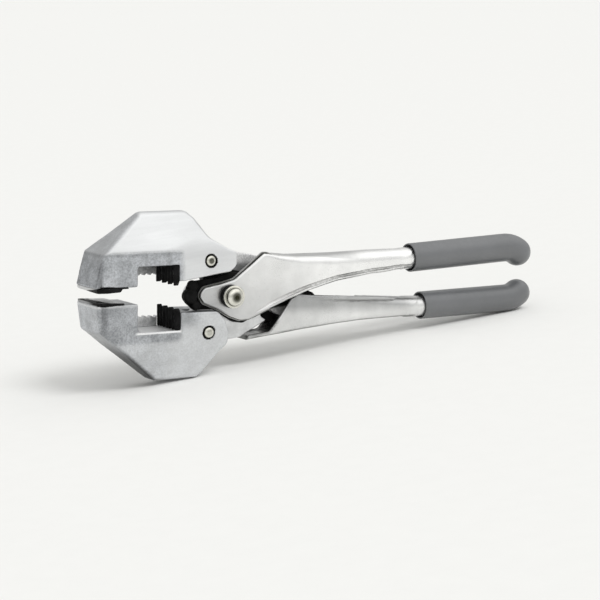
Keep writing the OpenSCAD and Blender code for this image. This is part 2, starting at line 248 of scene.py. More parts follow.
def arm_steel():
    s = Mat("arm_steel")
    pits = s.noise(1100, 4, 0.65)
    cloud = s.noise(90, 4, 0.6)
    col = s.scale_colour((0.70, 0.705, 0.71), s.ramp(cloud, 0.3, 0.7, 0.86, 1.10))
    # painted shade: one mask paints the arm near-black and less metallic where it lies deep between the castings and
    # handles; the lit mask adds painted light, a paler and less metallic tone
    soot = s.attr("finish_and_painted_light")
    col = s.mix(soot, col, (0.008, 0.008, 0.008))
    lit = s.attr("lit")
    col = s.mix(lit, col, s.scale_colour((0.80, 0.80, 0.80), s.ramp(pits, 0.35, 0.65, 0.72, 1.12)))
    rough = s.ramp(pits, 0.3, 0.7, 0.36, 0.54)
    return s.set(col=col, metal=s.math("SUBTRACT", s.math("SUBTRACT", 1.0, s.math("MULTIPLY", soot, 0.9)), s.math("MULTIPLY", lit, 0.55)), rough=rough, spec=0.25, normal=s.bump(pits, 0.22, 0.0004))


def nickel():
    s = Mat("nickel")
    spot = s.noise(900, 3, 0.6)
    cloud = s.noise(160, 3, 0.6)
    turn = s.cells(700)
    col = s.mix(s.ramp(cloud, 0.35, 0.65), (0.74, 0.73, 0.655), (0.82, 0.81, 0.745))
    # painted reflection and painted shade: the mask darkens the dome centres and the rings at the domes' feet
    col = s.mix(s.attr("finish_and_painted_light"), col, (0.035, 0.035, 0.022))
    rough = s.ramp(spot, 0.3, 0.7, 0.13, 0.26)
    return s.set(col=col, metal=1.0, rough=rough, normal=s.bump(turn, 0.05, 0.0002))


def blackened():
    s = Mat("blackened_steel")
    pits = s.noise(1000, 4, 0.65)
    cloud = s.noise(140, 3, 0.6)
    col = s.mix(s.ramp(cloud, 0.3, 0.7), (0.004, 0.004, 0.004), (0.013, 0.013, 0.0135))
    bare = s.attr("finish_and_painted_light")
    col = s.mix(bare, col, (0.86, 0.865, 0.87))
    rough = s.ramp(pits, 0.3, 0.7, 0.30, 0.55)
    return s.set(col=col, metal=bare, rough=rough, spec=0.06, normal=s.bump(pits, 0.3, 0.0004))


def strip_steel():
    s = Mat("strip_steel")
    pits = s.noise(800, 4, 0.65)
    grain = s.noise(420, 3, 0.6)
    col = s.scale_colour((0.42, 0.425, 0.43), s.ramp(grain, 0.3, 0.7, 0.72, 1.25))
    col = s.mix(s.attr("finish_and_painted_light"), col, s.scale_colour((0.80, 0.805, 0.81), s.ramp(grain, 0.3, 0.7, 0.8, 1.15)))
    rough = s.ramp(pits, 0.3, 0.7, 0.42, 0.62)
    return s.set(col=col, metal=1.0, rough=rough, normal=s.bump(grain, 0.4, 0.0005))


def screw(name, base):
    s = Mat(name)
    pits = s.noise(1500, 3, 0.6)
    col = s.scale_colour(base, s.ramp(pits, 0.3, 0.7, 0.8, 1.15))
    return s.set(col=col, metal=1.0, rough=s.ramp(pits, 0.3, 0.7, 0.3, 0.5), normal=s.bump(pits, 0.15, 0.0002))


def vinyl():
    s = Mat("grip_vinyl")
    skin = s.noise(1500, 3, 0.6)
    orange = s.noise(330, 2, 0.5)
    wide = s.noise(30, 2, 0.5)
    col = s.mix(s.ramp(wide, 0.3, 0.7), (0.092, 0.096, 0.101), (0.106, 0.110, 0.116))
    col = s.mix(s.ramp(skin, 0.62, 0.8, 0.0, 0.25), col, (0.10, 0.10, 0.105))
    rough = s.ramp(orange, 0.3, 0.7, 0.38, 0.50)
    h = s.math("ADD", s.math("MULTIPLY", skin, 0.4), s.math("MULTIPLY", orange, 0.8))
    return s.set(col=col, rough=rough, spec=1.0, coat=0.50, coat_rough=0.30, normal=s.bump(h, 0.16, 0.0004))


def rubber(name, lo, hi, rough0):
    s = Mat(name)
    skin = s.noise(1200, 3, 0.6)
    cloud = s.noise(120, 3, 0.6)
    col = s.mix(s.ramp(cloud, 0.3, 0.7), lo, hi)
    return s.set(col=col, rough=s.ramp(skin, 0.3, 0.7, rough0, rough0 + 0.2), spec=0.03, normal=s.bump(skin, 0.25, 0.0003))


def bronze():
    s = Mat("bronze")
    skin = s.noise(900, 3, 0.6)
    col = s.mix(s.ramp(skin, 0.3, 0.7), (0.60, 0.44, 0.22), (0.48, 0.34, 0.17))
    return s.set(col=col, metal=1.0, rough=s.ramp(skin, 0.3, 0.7, 0.28, 0.42), normal=s.bump(skin, 0.1, 0.0002))


MATS = {"jaw_casting": casting(), "arm_steel": arm_steel(), "handle_steel": handle_steel(), "nickel": nickel(),
        "blackened_steel": blackened(), "strip_steel": strip_steel(), "screw_steel": screw("screw_steel", (0.55, 0.55, 0.55)),
        "screw_black": screw("screw_black", (0.03, 0.03, 0.03)), "grip_vinyl": vinyl(),
        "black_nylon": rubber("black_nylon", (0.004, 0.004, 0.004), (0.009, 0.009, 0.009), 0.3),
        "black_rubber": rubber("black_rubber", (0.004, 0.004, 0.004), (0.009, 0.009, 0.009), 0.5), "bronze": bronze()}

# ------------------------------------------------------------------ world, floor and lights
world = bpy.data.worlds.new("studio")
bpy.context.scene.world = world
world.use_nodes = True
wt = world.node_tree
bg = wt.nodes["Background"]


def wnode(kind):
    return wt.nodes.new(kind)


def wramp(v, a, b, lo, hi):
    n = wnode("ShaderNodeMapRange")
    n.interpolation_type = "SMOOTHSTEP"
    wt.links.new(v, n.inputs["Value"])
    for k, x in (("From Min", a), ("From Max", b), ("To Min", lo), ("To Max", hi)):
        n.inputs[k].default_value = x
    return n.outputs["Result"]


def wmath(op, a, b):
    n = wnode("ShaderNodeMath")
    n.operation = op
    for i, v in enumerate((a, b)):
        if isinstance(v, bpy.types.NodeSocket):
            wt.links.new(v, n.inputs[i])
        else:
            n.inputs[i].default_value = v
    return n.outputs[0]


def wmix(f, a, b):
    """a + f * (b - a)"""
    return wmath("ADD", a, wmath("MULTIPLY", f, wmath("SUBTRACT", b, a)))


SKY_BACK, SKY_FRONT, SKY_SIDE, SKY_TOP, SKY_TOP_BACK = 0.55, 0.72, 0.36, 1.24, 0.60
direction = wnode("ShaderNodeTexCoord").outputs["Generated"]
sep = wnode("ShaderNodeSeparateXYZ")
wt.links.new(direction, sep.inputs[0])
dx, dy, dz = sep.outputs
side = wmix(wramp(dx, -0.9, -0.2, 1.0, 0.0), SKY_BACK, SKY_SIDE)
low = wmix(wramp(dy, -0.55, 0.25, 0.0, 1.0), SKY_FRONT, side)
toward = wmath("SUBTRACT", wmath("MULTIPLY", dx, 0.5), wmath("MULTIPLY", dy, 0.86))
top = wramp(toward, -0.55, 0.6, SKY_TOP_BACK, SKY_TOP)
sky = wmix(wramp(dz, 0.26, 0.66, 0.0, 1.0), low, top)
wt.links.new(sky, bg.inputs["Strength"])
bg.inputs["Color"].default_value = (1.0, 1.0, 0.985, 1)


def stage_mesh(name, verts, faces, colour, rough=0.9):
    m = bpy.data.meshes.new(name)
    m.from_pydata(verts, [], faces)
    o = bpy.data.objects.new(name, m)
    bpy.context.scene.collection.objects.link(o)
    s = Mat(name + "_paper")
    fibre = s.noise(60, 3, 0.6)
    s.set(col=s.scale_colour(colour, s.ramp(fibre, 0.3, 0.7, 0.995, 1.005)), rough=rough, spec=0.08)
    o.data.materials.append(s.m)
    return o


stage_mesh("floor", [(-9, -4, 0), (9, -4, 0), (9, 14, 0), (-9, 14, 0)], [(0, 1, 2, 3)], (0.795, 0.795, 0.782))


key = bpy.data.lights.new("key", "SUN")
key.energy = 1.36
key.angle = 0.40
key_o = bpy.data.objects.new("key", key)
bpy.context.scene.collection.objects.link(key_o)
key_o.rotation_euler = Vector((-0.25, 0.75, -0.90)).to_track_quat("-Z", "Y").to_euler()
key_o.location = (0.6, -0.3, 0.8)
key_o.visible_glossy = False

# ------------------------------------------------------------------ solids from distance fields
rng = np.random.default_rng(11)


def span(a, b, h):
    return np.arange(a, b + h * 0.5, h)


def smooth(v, a, b):
    """0 at a, 1 at b, with soft ends"""
    t = np.clip((v - a) / (b - a), 0, 1)
    return t * t * (3 - 2 * t)


def meet(a, b, r):
    """intersection of two fields with an edge radius r"""
    u, v = np.maximum(a + r, 0), np.maximum(b + r, 0)
    return np.minimum(np.maximum(a, b) + r, 0) + np.sqrt(u * u + v * v) - r


def cut(a, b, r=0.0):
    """a without b"""
    return np.maximum(a, -b) if np.isscalar(r) and r == 0 else meet(a, -b, r)


def join(a, b, r):
    """union with a fillet of radius r"""
    return -meet(-a, -b, r)


def fillet(points, seg=7):
    """[x, z, radius] corners to a polyline with arcs"""
    out, n = [], len(points)
    for i, (x, z, r) in enumerate(points):
        p = Vector((x, z))
        a, b = Vector(points[i - 1][:2]) - p, Vector(points[(i + 1) % n][:2]) - p
        la, lb = a.length, b.length
        a.normalize(), b.normalize()
        ang = math.acos(max(-1, min(1, a.dot(b))))
        if r <= 0 or ang > math.pi - 0.02:
            out.append((x, z))
            continue
        t = min(r / math.tan(ang / 2), la * 0.48, lb * 0.48)
        for k in range(seg + 1):
            s = k / seg
            out.append(tuple(p + a * t * (1 - s) ** 2 + b * t * s ** 2))
    return out


def poly(X, Z, pts):
    """signed distance to a polygon, negative inside"""
    d = np.full(np.broadcast(X, Z).shape, 1e9)
    s = np.ones(d.shape)
    for i in range(len(pts)):
        ax, az = pts[i]
        bx, bz = pts[i - 1]
        ex, ez = bx - ax, bz - az
        wx, wz = X - ax, Z - az
        t = np.clip((wx * ex + wz * ez) / (ex * ex + ez * ez + 1e-12), 0, 1)
        d = np.minimum(d, (wx - ex * t) ** 2 + (wz - ez * t) ** 2)
        c1, c2, c3 = Z >= az, Z < bz, ex * wz > ez * wx
        s = np.where((c1 & c2 & c3) | (~c1 & ~c2 & ~c3), -s, s)
    return s * np.sqrt(d)


def lattice(gx, gy, gz, cell):
    """smooth random bumps of one size over a grid, about -1 to 1"""
    def pick(g):
        t = (g - g[0]) / cell
        i = np.floor(t).astype(int)
        f = t - i
        return i, f * f * (3 - 2 * f)
    (ix, fx), (iy, fy), (iz, fz) = pick(gx), pick(gy), pick(gz)
    L = rng.uniform(-1, 1, (ix[-1] + 2, iy[-1] + 2, iz[-1] + 2))
    L = L[ix] * (1 - fx)[:, None, None] + L[ix + 1] * fx[:, None, None]
    L = L[:, iy] * (1 - fy)[None, :, None] + L[:, iy + 1] * fy[None, :, None]
    return L[:, :, iz] * (1 - fz) + L[:, :, iz + 1] * fz


class Field:
    def __init__(self, x0, x1, y0, y1, z0, z1, h):
        self.h = h
        self.g = [span(x0, x1, h), span(y0, y1, h), span(z0, z1, h)]
        self.X = self.g[0][:, None, None]
        self.Y = self.g[1][None, :, None]
        self.Z = self.g[2][None, None, :]
        self.X2, self.Z2 = self.g[0][:, None], self.g[2][None, :]

    def poly(self, pts):
        return poly(self.X2, self.Z2, pts)[:, None, :]

    def ycyl(self, p, r, y0, y1):
        a = np.sqrt((self.X - p[0]) ** 2 + (self.Z - p[1]) ** 2) - r
        return np.maximum(a, np.maximum(y0 - self.Y, self.Y - y1))

    def bumps(self, cell):
        return lattice(*self.g, cell)

    def mesh(self, name, d, finish_and_painted_light=None, **paint):
        d = np.broadcast_to(d, tuple(len(g) for g in self.g))
        lim = 3 * self.h
        g = openvdb.FloatGrid(lim)
        g.copyFromArray(np.ascontiguousarray(np.clip(d, -lim, lim).astype(np.float32)))
        pts, quads = g.convertToQuads(0.0)
        pts = pts.astype(np.float64) * self.h + np.array([g0[0] for g0 in self.g])
        m = bpy.data.meshes.new(name)
        m.from_pydata(stand_array(pts).tolist(), [], quads.tolist())
        m.validate()
        m.polygons.foreach_set("use_smooth", np.ones(len(m.polygons), dtype=bool))
        # the first vertex mask holds the finish on some pieces, and painted shade, painted light and painted reflection
        # on others
        if finish_and_painted_light is not None:
            a = m.attributes.new("finish_and_painted_light", "FLOAT", "POINT")
            a.data.foreach_set("value", np.clip(finish_and_painted_light(pts), 0, 1).astype(np.float32))
        at = [np.clip(np.rint((pts[:, i] - g0[0]) / self.h).astype(int), 0, len(g0) - 1) for i, g0 in enumerate(self.g)]
        for k, grid in paint.items():
            grid = np.broadcast_to(grid, d.shape)
            a = m.attributes.new(k, "FLOAT", "POINT")
            a.data.foreach_set("value", np.clip(grid[at[0], at[1], at[2]], 0, 1).astype(np.float32))
        m.update()
        return m


def show(name, mesh, *nodes, slot=None):
    """links a visual piece that stands for CAD nodes of one body"""
    o = bpy.data.objects.new(name, mesh)
    bpy.context.scene.collection.objects.link(o)
    s = slot or SLOT_OF[nodes[0]]
    o.data.materials.clear()
    o.data.materials.append(MATS[s])
    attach(o, BODY[nodes[0]])
    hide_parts(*nodes)
    return o


RIV_U, RIV_L = (-23.0, 25.0), (-24.5, -29.5)


def upper_jaw():
    f = Field(-119.5, 1.5, -20.5, 20.5, 5.5, 64.5, 0.5)
    X, Y, Z = f.X, f.Y, f.Z
    side = f.poly(fillet([(-117.6, 8, 0.8), (-112, 32.5, 3), (-75.5, 62.5, 5), (-37.5, 62.5, 8), (-31, 56.8, 6), (-21.5, 42, 14),
                          (-8, 33.8, 12), (-1, 31.2, 1.5), (-1, 20.6, 5), (-6.5, 16, 5), (-49, 10.4, 0), (-84, 8, 0)]))
    S = smooth(X, -44.6, -48.2) * smooth(Z, 34.0, 31.8) * smooth(X, -115.0, -111.8)
    aY = np.abs(Y)
    front = aY - (19 - 1.5 * S)
    bevel = 0.8914 * (aY - 19) + 0.4533 * (Z - 33)
    sec = meet(front, bevel, 1.4 + 3.4 * smooth(X, -64, -30))
    R = 1.5 + 1.5 * smooth(X, -98, -110) * smooth(Y, 4, -6) + 1.6 * smooth(Z, 36, 46) * smooth(X, -110, -98) - 0.4 * smooth(Z, 14, 9)
    d = meet(side, sec, R)
    notch = f.poly(fillet([(-83.5, -20, 0), (-83.5, 23, 2.2), (-49, 23, 0.8), (-49, -20, 0)]))
    d = cut(d, notch, 0.9)
    d = d + 0.10 * f.bumps(3.0) * (0.15 + 0.85 * S) + 0.16 * f.bumps(11.0) * (0.35 + 0.65 * S)
    slot = np.maximum(f.poly([(-40.2, 0), (-40.2, 30), (10, 30), (10, 0)]), np.maximum(0.5 - Y, Y - 8.6))
    d = cut(d, slot)
    d = cut(d, f.ycyl(RIV_U, 5.2, -40, -17.0), 0.4)
    d = cut(d, f.ycyl(RIV_U, 5.2, 17.0, 40), 0.4)
    d = cut(d, f.ycyl(RIV_U, 4.1, -40, 40))
    for y in (-11, 12):
        d = cut(d, np.maximum(np.sqrt((X + 111) ** 2 + (Y - y) ** 2) - 1.6, Z - 18))
    for y in (-10, 10):
        d = cut(d, np.maximum(np.sqrt((Z - 16.5) ** 2 + (Y - y) ** 2) - 1.8, np.maximum(-50 - X, X + 41)))

    def finish_and_painted_light(p):
        x, y, z = p[:, 0], np.abs(p[:, 1]), p[:, 2]
        s = smooth(x, -44.0, -49.5) * smooth(z, 35.6, 31.5) * smooth(y, 15.0, 17.0)
        end = smooth(x, -108, -114)
        slope = smooth(poly(x, z, [(-140, 20), (-113.5, 29), (-77, 59), (-78, 90), (-140, 90)]), 1.5, -1.5)
        return np.maximum(np.maximum(s, 0.95 * end), 0.50 * slope) + 0.10 * smooth(z, 30, 16)
    # painted shade: a dark ring in the recess round the rivet, a dark band along the step at the nose corner and a line
    # in the crease under the bevel
    ring = np.sqrt((X - RIV_U[0]) ** 2 + (Z - RIV_U[1]) ** 2)
    edge = smooth(X, -117.0, -114.6) * smooth(X, -110.2, -113.6) * smooth(Z, 34, 31) * smooth(aY, 15.5, 17)
    soot = np.maximum(smooth(ring, 5.6, 5.2), 0.42 * edge)
    soot = np.maximum(soot, 0.22 * smooth(Z, 29.5, 32.4) * smooth(Z, 34.2, 33.4) * S)
    return show("v_upper_jaw", f.mesh("v_upper_jaw", d, finish_and_painted_light, soot=soot), "upper_jaw")


def lower_jaw():
    f = Field(-119.0, -4.5, -20.5, 20.5, -66.5, -2.5, 0.5)
    X, Y, Z = f.X, f.Y, f.Z
    side = f.poly(fillet([(-117.0, -4.5, 0.7), (-84, -4.8, 0), (-48.2, -12.9, 0), (-17, -13.6, 3.5), (-11.3, -20, 4), (-7.3, -30, 8),
                          (-7.6, -39.5, 8), (-14, -46.2, 8), (-26.5, -61.5, 4), (-30.5, -65, 2.5), (-66, -65, 5), (-114.5, -25, 4)]))
    S = smooth(X, -43.0, -50.5) * smooth(Z, -37.5, -31.5) * smooth(X, -115.2, -111.0)
    aY = np.abs(Y)
    front = aY - (19 - 1.1 * S)
    bevel = 0.9603 * (aY - 19) + 0.2788 * (-Z - 34)
    sec = meet(front, bevel, 5.5)
    R = 1.5 + 1.3 * smooth(X, -98, -110) * smooth(Y, 4, -6) + 2.2 * smooth(Z, -36, -46) * smooth(X, -110, -98) - 0.3 * smooth(Z, -14, -8)
    d = meet(side, sec, R)
    notch = f.poly(fillet([(-83.5, 20, 0), (-83.5, -26.5, 4.6), (-48.2, -26.5, 1.6), (-48.2, 20, 0)]))
    d = cut(d, notch, 0.9)
    d = d + 0.10 * f.bumps(3.0) * (0.15 + 0.85 * S) + 0.16 * f.bumps(11.0) * (0.35 + 0.65 * S)
    slot = np.maximum(f.poly([(-39.2, 0), (-39.2, -38.2), (10, -38.2), (10, 0)]), np.maximum(-8.5 - Y, Y + 0.5))
    d = cut(d, slot)
    d = cut(d, f.ycyl(RIV_L, 5.2, -40, -17.0), 0.4)
    d = cut(d, f.ycyl(RIV_L, 5.2, 17.0, 40), 0.4)
    d = cut(d, f.ycyl(RIV_L, 4.1, -40, 40))
    for y in (-11, 12):
        d = cut(d, np.maximum(np.sqrt((X + 111) ** 2 + (Y - y) ** 2) - 1.6, -16 - Z))
    for y in (-10, 10):
        d = cut(d, np.maximum(np.sqrt((Z + 18) ** 2 + (Y - y) ** 2) - 1.8, np.maximum(-50 - X, X + 40)))

    def finish_and_painted_light(p):
        x, y, z = p[:, 0], np.abs(p[:, 1]), p[:, 2]
        s = smooth(x, -41.5, -51.5) * smooth(z, -39.0, -31.0) * smooth(y, 15.0, 17.0) * smooth(z, -5.2, -7.5)
        end = smooth(x, -108, -114) * smooth(z, -40, -26) * smooth(z, -5.2, -7.5)
        cheek = 0.42 * smooth(z, -27, -17) * smooth(x, -50, -44) * smooth(x, -26, -40)
        return np.maximum(np.maximum(s, 0.85 * end), 0.40) + cheek + 0.20 * smooth(x, -50, -66) * smooth(z, -20, -32)
    # painted shade: a dark ring in the recess round the rivet, a band along the step at the nose corner, a painted
    # contact shadow on the underside near the foot, and the panel and cheek a little darker
    ring = np.sqrt((X - RIV_L[0]) ** 2 + (Z - RIV_L[1]) ** 2)
    edge = smooth(X, -115.4, -112.6) * smooth(X, -105.5, -110.5) * smooth(Z, -33, -25) * smooth(aY, 15.5, 17)
    under = smooth(side, -3.0, -0.3) * smooth(Z, -28, -50) * smooth(X, -58, -70)
    soot = np.maximum(np.maximum(np.maximum(smooth(ring, 5.6, 5.2), 0.40 * edge), 0.85 * under), np.maximum(0.14 * S, 0.16 * smooth(Z, -30, -18) * smooth(X, -52, -45) * smooth(X, -26, -40)))
    # painted light: the upward-facing notch floor, where light falls, is made pale and less metallic
    pale = smooth(Z, -26.0, -26.9) * smooth(side, -6, -14) * smooth(X, -86.5, -83) * smooth(X, -47.0, -48.6) * smooth(Z, -28.6, -27.2)
    return show("v_lower_jaw", f.mesh("v_lower_jaw", d, finish_and_painted_light, soot=soot, pale=0.9 * pale), "lower_jaw")


UP_RIV = [(47, 6), (53, 18)]
LOW_RIV = [(60, -16), (73, -17.5)]


def upper_handle():
    f = Field(-34.5, 265, -17.5, 17.5, -25, 31, 0.5)
    X, Y, Z = f.X, f.Y, f.Z
    aY = np.abs(Y)
    side = f.poly(fillet([(24, 28.5, 3), (12.5, 19.5, 14), (-1.5, 9.3, 12), (-13.5, 6.7, 20), (-27, 4.3, 5), (-31.5, -1.5, 5),
                          (-27.6, -7.6, 5), (-15, -13, 14), (-4.7, -19, 12), (4, -22.2, 8), (12, -22.2, 9), (20.5, -19, 14), (31, -14.6, 20),
                          (47, -8.3, 20), (62.5, -3.2, 30), (93, 3.2, 30), (125, 6.8, 20), (167, 9.4, 0), (167, 25.4, 0), (125, 25.6, 20),
                          (83, 24.4, 20), (56, 24.4, 20), (38, 26.2, 14), (28, 28.3, 3)]))
    neck = np.sqrt(((Z - 17.4 - 0.047 * (X - 165)) / 7.8) ** 2 + (Y / 9.4) ** 2) * 7.8 - 7.8
    neck = np.maximum(neck, np.maximum(158 - X, X - 184))
    hw = np.interp(f.g[0], [-40, 50, 62, 100, 150, 163, 176, 186], [16, 16, 15.4, 12.3, 9.3, 9.3, 9.3, 7.3])[:, None, None]
    plan = aY - hw
    R = np.interp(f.g[0], [-40, 10, 40, 62, 90, 125, 150, 170], [1.9, 2.3, 3.8, 6.2, 8.6, 9.2, 8.6, 7.9])[:, None, None]
    R = R * (1 - 0.5 * smooth(Z, 15, 9) * smooth(X, 25, 60) * smooth(X, 165, 135))
    d = meet(side, plan, R)
    # the rear sheet's upper corner is lower than the front one's
    d = np.maximum(d, -np.maximum(f.poly([(-4, 11.5), (10, 16.5), (36, 21.0), (42, 45), (-4, 45)]), 9 - Y))
    # seam between the front sheet and the layer behind it, which stands a little proud of the edge
    near = smooth(X, 36, 26)
    seam = np.maximum(np.abs(Y + 13.55) - 0.55, -(side + 1.5)) + (near < 0.5) * 9
    layer = np.maximum(side - 0.9 * near, np.abs(Y + 12.0) - 1.0)
    d = np.minimum(cut(d, seam, 0.25), layer + (near < 0.5) * 9)
    # lip along the lower edge, set off by a groove
    low = smooth(Z, 17, 10) * smooth(X, 12, 34)
    g = np.sqrt((side + 3.6) ** 2 + (plan - 0.35 + 0.22 * R) ** 2) - 1.35 * low
    d = cut(d, g + (low < 0.02) * 5, 0.5)
    # inside of the channel
    ihw = np.interp(f.g[0], [-40, 60, 118, 119, 170], [10.95, 10.95, 6.6, 6.5, 6.5])[:, None, None]
    room = np.maximum(f.poly([(-50, -40), (118, -40), (118, 21.8), (83, 21.0), (56, 21.2), (38, 22.6), (34, 45), (-50, 45)]), aY - ihw)
    d = cut(d, room, 0.5)
    tube_axis = 17.2 + np.tan(math.radians(2.7)) * (X - 160)
    tube = np.sqrt((Z - tube_axis) ** 2 + Y ** 2) - 7.3
    tube = np.maximum(np.maximum(tube, 158 - X), X - 263.8)
    d = join(join(d, neck, 1.5), tube, 3.0)
    d = d + 0.05 * f.bumps(4.0) * smooth(X, 150, 120) + 0.16 * f.bumps(16.0) * smooth(X, 165, 140)
    d = cut(d, f.ycyl(PIV, 6.1, -40, 40))
    for p in UP_RIV:
        d = cut(d, f.ycyl(p, 3.1, -14, 40))

    # painted shade on the inner faces of the channel; the outer faces are darker towards the pivot end and towards the
    # lower edge
    def finish_and_painted_light(p):
        x, y, z = p[:, 0], p[:, 1], p[:, 2]
        return 0.5 * smooth(np.abs(y), 11.5, 10.5) * smooth(x, 120, 100) + (0.34 * smooth(x, 12, -20) + 0.22 * smooth(x, 95, 30) + 0.30 * smooth(z, 14, -10) * smooth(x, 80, 30)) * smooth(np.abs(y), 14, 16)
    # painted shade: a dark line in the groove above the lip, at the seam between the front sheet and the layer behind
    # it, and along that layer's edge
    groove = np.sqrt((side + 3.6) ** 2 + (plan - 0.35 + 0.22 * R) ** 2)
    soot = 0.62 * smooth(groove, 1.9, 0.9) * low * smooth(X, 24, 60)
    soot = np.maximum(soot, 0.9 * smooth(np.abs(Y + 13.55), 1.0, 0.5) * near * smooth(side, -3, -1.2))
    soot = np.maximum(soot, 0.42 * smooth(np.abs(Y + 12.0), 1.6, 1.0) * near)
    return show("v_upper_handle", f.mesh("v_upper_handle", d, finish_and_painted_light, soot=soot), "upper_handle")


def lower_handle():
    f = Field(10.5, 264.5, -12, 12, -40.2, -3.5, 0.6)
    X, Y, Z = f.X, f.Y, f.Z
    aY = np.abs(Y)
    side = f.poly(fillet([(11.5, -38.6, 0), (24, -37.2, 10), (59, -33.7, 20), (86, -31.6, 20), (116, -30.0, 20), (172, -29.4, 0), (172, -14.7, 0), (125, -11.2, 20),
                          (106, -9.7, 20), (70, -7, 10), (58, -5.6, 4), (51.5, -8.3, 4), (42.5, -21.1, 20), (32.0, -33.0, 4), (14, -34.9, 0)]))
    hw = np.interp(f.g[0], [0, 82, 110, 150, 188, 198], [10.7, 10.7, 9.8, 9.1, 9.1, 7.3])[:, None, None]
    plan = aY - hw
    R = np.interp(f.g[0], [0, 40, 60, 100, 140, 172], [1.0, 1.4, 2.8, 5.2, 7.0, 7.4])[:, None, None]
    d = meet(side, plan, R)
    ihw = np.interp(f.g[0], [0, 82, 100, 116, 172], [8.5, 8.5, 7.3, 6.3, 6.3])[:, None, None]
    room = np.maximum(f.poly([(0, -35.6), (14, -35.4), (24, -35.0), (59, -31.5), (86, -29.2), (116, -26.8), (116, 20), (0, 20)]), aY - ihw)
    d = cut(d, room, 0.5)
    # the rear flange stands a little lower than the front one
    back_top = np.interp(f.g[0], [40, 58, 70, 106, 118, 130, 150], [-6.0, -7.5, -8.9, -11.4, -12.2, -11.0, 0.0])[:, None, None]
    d = np.maximum(d, np.minimum(Z - back_top, Y - 2.0))
    # rolled lip along the top edge
    lip = np.sqrt((side + 1.3) ** 2 + (-Y - hw + 0.9 + 1.1 * smooth(X, 82, 72)) ** 2) - 1.7  # inside the upper handle the lip stays within the flange
    keep = smooth(X, 50, 56) * smooth(X, 165, 140) * smooth(Z, -17, -13)
    d = join(d, lip + (1 - keep) * 3, 0.8)
    tube_axis = -22.1 - np.tan(math.radians(1.0)) * (X - 165)
    tube = np.sqrt((Z - tube_axis) ** 2 + Y ** 2) - 7.3
    tube = np.maximum(np.maximum(tube, 162 - X), X - 262.8)
    neck = np.sqrt(((Z + 22.0 + 0.0175 * (X - 165)) / 7.6) ** 2 + (Y / 9.1) ** 2) * 7.6 - 7.6
    neck = np.maximum(neck, np.maximum(164 - X, X - 194))
    d = join(join(d, neck, 1.5), tube, 3.0)
    d = d + 0.04 * f.bumps(4.0) * smooth(X, 160, 130) + 0.08 * f.bumps(14.0) * smooth(X, 165, 140)
    for p in LOW_RIV:
        d = cut(d, f.ycyl(p, 3.1, 0, 40))

    # darker towards the pivot end and towards the top edge
    def finish_and_painted_light(p):
        x, y, z = p[:, 0], p[:, 1], p[:, 2]
        top = np.interp(x, [50, 170], [-8, -14.5])
        return 0.30 * smooth(x, 110, 60) + 0.62 * smooth(z, top - 15, top - 4) * smooth(x, 175, 150) + 0.16
    # painted shade: a dark band along the bottom edge and a dark line in the groove beside the rolled lip
    soot = 0.72 * smooth(side, -2.2, -0.2) * smooth(Z, -24, -27) * smooth(X, 172, 165)
    soot = np.maximum(soot, 0.55 * smooth(np.abs(side + 3.4), 1.2, 0.4) * keep * (Y < 0) * smooth(X, 70, 110))
    return show("v_lower_handle", f.mesh("v_lower_handle", d, finish_and_painted_light, soot=soot), "lower_handle")


def plate(name, node, pts, y0, y1, r, holes, h=0.5, bump=0.03, painted_shade_at=None, lit_at=None):
    xs, zs = [p[0] for p in pts], [p[1] for p in pts]
    f = Field(min(xs) - 1.5, max(xs) + 1.5, y0 - 1.5, y1 + 1.5, min(zs) - 1.5, max(zs) + 1.5, h)
    d = meet(f.poly(fillet(pts)), np.maximum(y0 - f.Y, f.Y - y1), r)
    d = d + bump * f.bumps(4.0)
    for p, q in holes:
        d = cut(d, f.ycyl(p, q, -40, 40))
    extra = {"lit": lit_at(f)} if lit_at else {}
    return show(name, f.mesh(name, d, painted_shade_at or (lambda p: np.zeros(len(p))), **extra), node)


upper_jaw()
lower_jaw()
upper_handle()
lower_handle()
plate("v_lower_arm", "lower_jaw_arm",
      [(-39, -18, 0), (-39, -35, 0), (-20, -38, 0), (-8, -38, 0), (-3, -37.2, 6), (2, -37, 6), (8, -36, 8), (14, -32.7, 8), (30.6, -24.3, 1.2),
       (24, -20.5, 3), (33, -10, 0), (42, -3, 0), (52, -0.5, 0), (60, 2, 0), (60, 20.4, 0), (42, 20.4, 0), (24, 14, 0), (8, 8, 0), (-10, 3, 0),
       (-20, -3, 0), (-31, -5, 0), (-31, -12, 0)], -8.4, -0.6, 1.0,
      [(PIV, 6.1), (RIV_L, 4.1), ((47, 6), 3.1), ((53, 18), 3.1), ((-26, -9.3), 1.3), ((32, 12), 1.3)])
